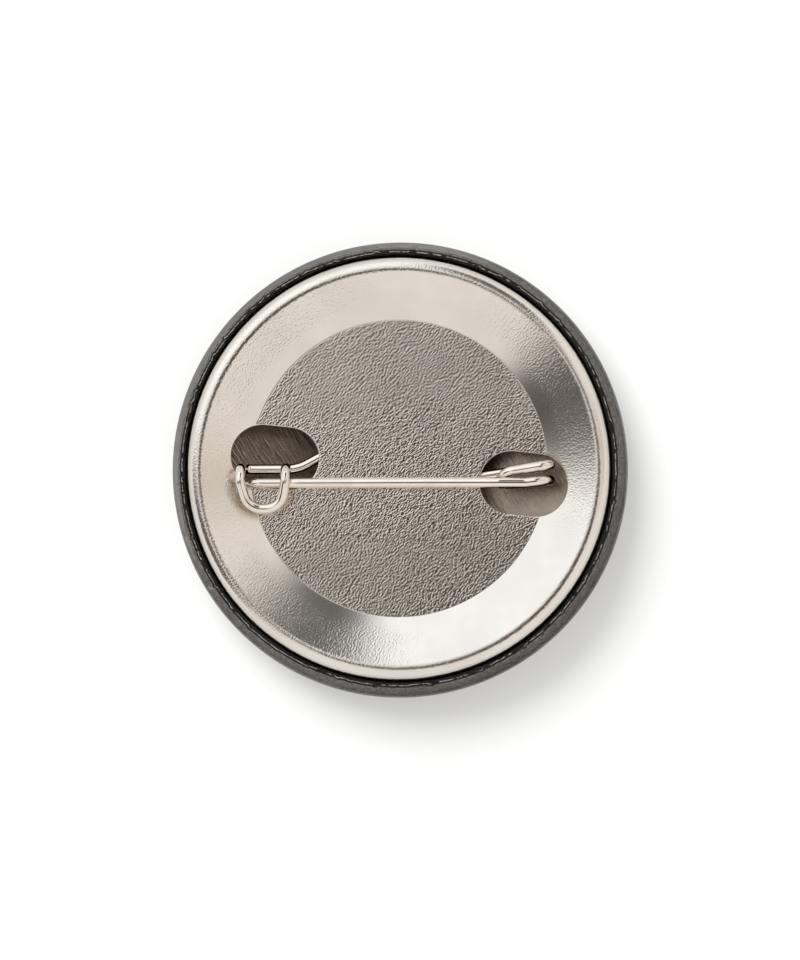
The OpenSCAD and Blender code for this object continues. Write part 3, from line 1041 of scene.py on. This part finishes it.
class BADGE_OT_print(Operator):
    """Wraps the plain print round the shell"""

    bl_idname = "badge.add_print"
    bl_label = "Printed Insert"

    def execute(self, context):
        sheets = context.scene.badge_sheets
        depth = sheets.film + sheets.gap
        piece = wrapped_sheet("printed_wrap", depth, sheets.paper, print_finish())
        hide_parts("printed_insert")
        return {"FINISHED"}


class BADGE_OT_film(Operator):
    """Wraps the clear film over the print"""

    bl_idname = "badge.add_film"
    bl_label = "Clear Film"

    def execute(self, context):
        sheets = context.scene.badge_sheets
        piece = wrapped_sheet("film_wrap", 0.0, sheets.film, film_finish())
        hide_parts("clear_film")
        return {"FINISHED"}


class BADGE_OT_shell(Operator):
    """Gives the front shell its dull brushed inside"""

    bl_idname = "badge.finish_shell"
    bl_label = "Front Shell"

    def execute(self, context):
        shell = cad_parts["front_shell"]
        material = shell_finish()
        for slot in shell.material_slots:
            slot.material = material
        return {"FINISHED"}


class BADGE_OT_back_plate(Operator):
    """Presses the slotted back plate with its rolled bead"""

    bl_idname = "badge.add_back_plate"
    bl_label = "Back Plate"

    def execute(self, context):
        scene = context.scene
        form = PlateForm(scene.badge_plate, Rim(scene.badge_sheets))
        slots = [Slot(scene.badge_plate, side) for side in (-1, 1)]
        points, faces = plate_mesh(form, slots)
        piece = new_piece("pressed_back", points, faces, BADGE, tin_finish())
        piece.data.set_sharp_from_angle(angle=SHARP_EDGE)
        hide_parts("back_plate")
        return {"FINISHED"}


class BADGE_OT_wire(Operator):
    """Bends the base, the hook, the coil and the pin arm"""

    bl_idname = "badge.add_wire"
    bl_label = "Spring Wire"

    def execute(self, context):
        form = WireForm(context.scene.badge_wire)
        material = wire_finish()
        hook = swept_wire("catch_hook", hook_rings(form), BADGE, material)
        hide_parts("catch_wire")
        coil = swept_wire("coil", coil_rings(form), BADGE, material)
        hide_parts("spring_coil")
        bending = swept_wire("coil_end", joint_rings(form), None, material)
        start = form.pivot.lerp(form.root, 0.95)
        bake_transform(bending)
        arm = swept_wire("pin_wire", arm_rings(form), PIN, material)
        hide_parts("pin_arm")
        return {"FINISHED"}


# --- stage ---

SKY_PATCHES = (
    # colour, then PATCH_INPUTS in degrees, clockwise from +X and down from the zenith
    ((1.18, 1.24, 1.28), 235, 43, 22, 66, 4),  # window
    ((0.1, 0.1, 0.095), 291, 16, 18, 58, 5),  # dark frame
    ((0.09, 0.082, 0.074), 166, 18, 18, 58, 5),  # dark door
    ((0.72, 0.66, 0.58), 350, 12, 24, 60, 7),  # warm corner
)
# the dark camera overhead: its colour, its place off the zenith, and where its edge starts and ends
CAMERA_DARK = (0.085, 0.068, 0.055, 1)
CAMERA_EAST, CAMERA_NORTH = 0.1, -0.085
CAMERA_EDGE = (0.205, 0.32)


def studio_sky(stage):
    """A pale room with a window, two dark frames beside it and the dark camera overhead"""
    world = bpy.data.worlds.new("studio")
    bpy.context.scene.world = world
    world.use_nodes = True
    world.node_tree.nodes.clear()
    nodes = Nodes(world.node_tree)
    east, north, up = nodes.axes(nodes.add("TexCoord", {}).outputs["Generated"])
    turn = nodes.math("ARCTAN2", nodes.math("MULTIPLY", north, -1.0), east)
    zenith = nodes.math("ARCCOSINE", up)
    sky = tint((stage.room, stage.room * 0.985, stage.room * 0.965), 1.0)
    for shade, *angles in SKY_PATCHES:
        values = dict(zip(PATCH_INPUTS, map(math.radians, angles)))
        mask = nodes.group(sky_patch, {"Turn": turn, "From Zenith": zenith, **values})[0]
        sky = nodes.mix(mask, sky, (*shade, 1))
    east = nodes.math("SUBTRACT", east, CAMERA_EAST)
    north = nodes.math("SUBTRACT", north, CAMERA_NORTH)
    squared = nodes.math("ADD", nodes.math("MULTIPLY", east, east), nodes.math("MULTIPLY", north, north))
    away = nodes.math("SQRT", squared)
    overhead = nodes.math("GREATER_THAN", up, 0.0)
    dark = nodes.math("MULTIPLY", nodes.ramp(away, *CAMERA_EDGE, 1.0, 0.0), overhead)
    sky = nodes.mix(dark, sky, CAMERA_DARK)
    seen = nodes.add("LightPath", {}).outputs["Is Camera Ray"]
    light = nodes.add("Background", {"Color": nodes.mix(seen, sky, WHITE), "Strength": 1.0})
    nodes.add("OutputWorld", {0: light.outputs[0]})


def studio_floor(stage):
    """A wide pale floor that shows white, and keeps the shadow"""
    half = 1.5
    mesh = bpy.data.meshes.new("floor")
    corners = [(-half, -half, 0), (half, -half, 0), (half, half, 0), (-half, half, 0)]
    mesh.from_pydata(corners, [], [(0, 1, 2, 3)])
    floor = linked("floor", mesh)
    material, nodes, shader, place = new_material("floor")
    seen = nodes.add("LightPath", {}).outputs["Is Camera Ray"]
    values = {
        "Base Color": (*stage.floor, 1),
        "Roughness": 0.9,
        "Specular IOR Level": 0.0,
        "Emission Color": WHITE,
        "Emission Strength": nodes.math("MULTIPLY", seen, stage.floor_glow),
    }
    nodes.fill(shader, values)
    mesh.materials.append(material)


def look_at(thing, target):
    """Turns a camera or lamp towards a point, with the badge's +Y up in its view"""
    way = (target - thing.location).normalized()
    right = way.cross(Vector((0, 1, 0))).normalized()
    thing.rotation_euler = Matrix((right, right.cross(way), -way)).transposed().to_euler()


def leaning(tilt, azimuth):
    """The direction that stands off the upright by a tilt, in radians, towards an azimuth in degrees"""
    flat = polar(math.sin(tilt), azimuth)
    return Vector((flat.x, flat.y, math.cos(tilt)))


class BADGE_OT_stage(Operator):
    """Sets the camera, the floor, the key light and the room"""

    bl_idname = "badge.add_stage"
    bl_label = "Stage"

    def execute(self, context):
        scene = context.scene
        stage = scene.badge_stage
        target = Vector((stage.aim_x, stage.aim_y, Rim(scene.badge_sheets).shoulder.y))
        camera = linked("camera", bpy.data.cameras.new("camera"))
        off = leaning(stage.tilt, math.degrees(stage.tilt_azimuth))
        camera.location = target + stage.distance * off
        camera.data.sensor_width = SENSOR
        camera.data.lens = SENSOR * stage.distance / stage.frame_height
        camera.data.clip_start = 0.01
        look_at(camera, target)
        scene.camera = camera
        key = linked("key", bpy.data.lights.new("key", "SUN"))
        key.data.energy = stage.sun
        key.data.angle = stage.sun_size
        key.location = leaning(stage.sun_tilt, math.degrees(stage.sun_azimuth))
        look_at(key, Vector((0, 0, 0)))
        key.visible_glossy = False
        studio_sky(stage)
        studio_floor(stage)
        scene.view_settings.view_transform = "Standard"
        return {"FINISHED"}


class BADGE_PT_panel(Panel):
    """Lists the badge's pieces in the sidebar"""

    bl_label = "Button Badge"
    bl_idname = "BADGE_PT_panel"
    bl_space_type = "VIEW_3D"
    bl_region_type = "UI"
    bl_category = "Badge"

    def draw(self, context):
        for operator in OPERATORS:
            self.layout.operator(operator.bl_idname)


GROUPS = {
    "badge_sheets": BadgeSheetSettings,
    "badge_plate": BadgePlateSettings,
    "badge_wire": BadgeWireSettings,
    "badge_stage": BadgeStageSettings,
}
OPERATORS = (
    BADGE_OT_shell,
    BADGE_OT_print,
    BADGE_OT_film,
    BADGE_OT_back_plate,
    BADGE_OT_wire,
    BADGE_OT_stage,
)


def register():
    """Registers the settings, the operators and the panel"""
    for name, group in GROUPS.items():
        bpy.utils.register_class(group)
        setattr(bpy.types.Scene, name, PointerProperty(type=group))
    for operator in OPERATORS:
        bpy.utils.register_class(operator)
    bpy.utils.register_class(BADGE_PT_panel)


def unregister():
    """Removes them again"""
    bpy.utils.unregister_class(BADGE_PT_panel)
    for operator in reversed(OPERATORS):
        bpy.utils.unregister_class(operator)
    for name, group in GROUPS.items():
        delattr(bpy.types.Scene, name)
        bpy.utils.unregister_class(group)


def main():
    """Makes every piece"""
    register()
    bpy.ops.badge.finish_shell()
    bpy.ops.badge.add_print()
    bpy.ops.badge.add_film()
    bpy.ops.badge.add_back_plate()
    bpy.ops.badge.add_wire()
    bpy.ops.badge.add_stage()


if __name__ == "__main__":
    main()
